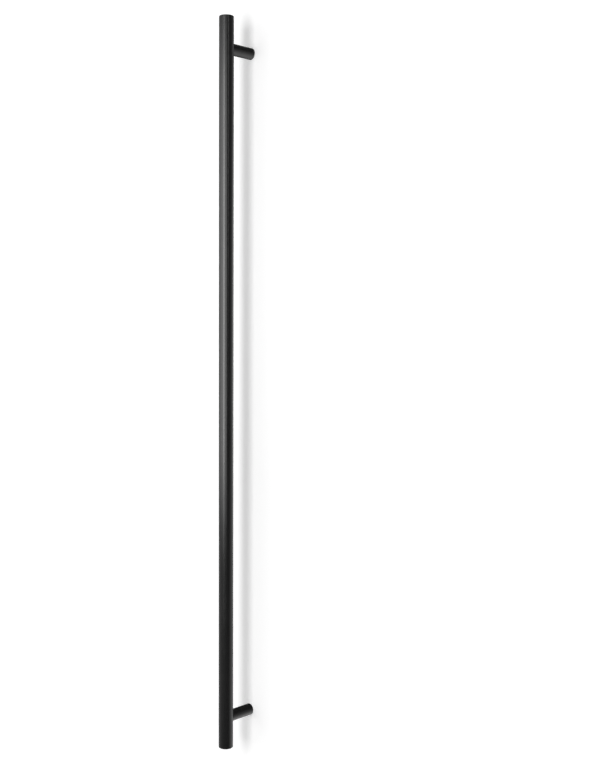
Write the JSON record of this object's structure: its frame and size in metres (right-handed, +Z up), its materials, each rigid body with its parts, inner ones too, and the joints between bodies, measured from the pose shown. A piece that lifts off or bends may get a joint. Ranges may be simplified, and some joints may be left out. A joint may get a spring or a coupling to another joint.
{
  "type": "ladder pull handle",
  "caption": "Long round bar pull handle in black coated steel, held off the door on coped round posts with threaded feet.",
  "frame": {"origin": "on the door's face, midway between the fixings", "axes": "+Z up along the grip, +Y into the door, the hand's side at -Y"},
  "size_m": [0.032, 0.087, 1.6],
  "materials": {
    "coated_steel": "satin black powder coat",
    "plain_steel": "machined",
    "blackened_steel": "black oxide",
    "pad_plastic": "moulded, matt"
  },
  "bodies": {
    "root": {"grip_tube": "coated_steel", "upper_end_cap": "coated_steel", "lower_end_cap": "coated_steel", "upper_post": "coated_steel", "lower_post": "coated_steel", "upper_saddle_nut": "plain_steel", "upper_lock_washer": "plain_steel", "upper_post_screw": "plain_steel", "upper_foot_bush": "plain_steel", "lower_saddle_nut": "plain_steel", "lower_lock_washer": "plain_steel", "lower_post_screw": "plain_steel", "lower_foot_bush": "plain_steel", "upper_grub_screw": "blackened_steel", "lower_grub_screw": "blackened_steel", "upper_foot_pad": "pad_plastic", "lower_foot_pad": "pad_plastic"}
  },
  "joints": []
}
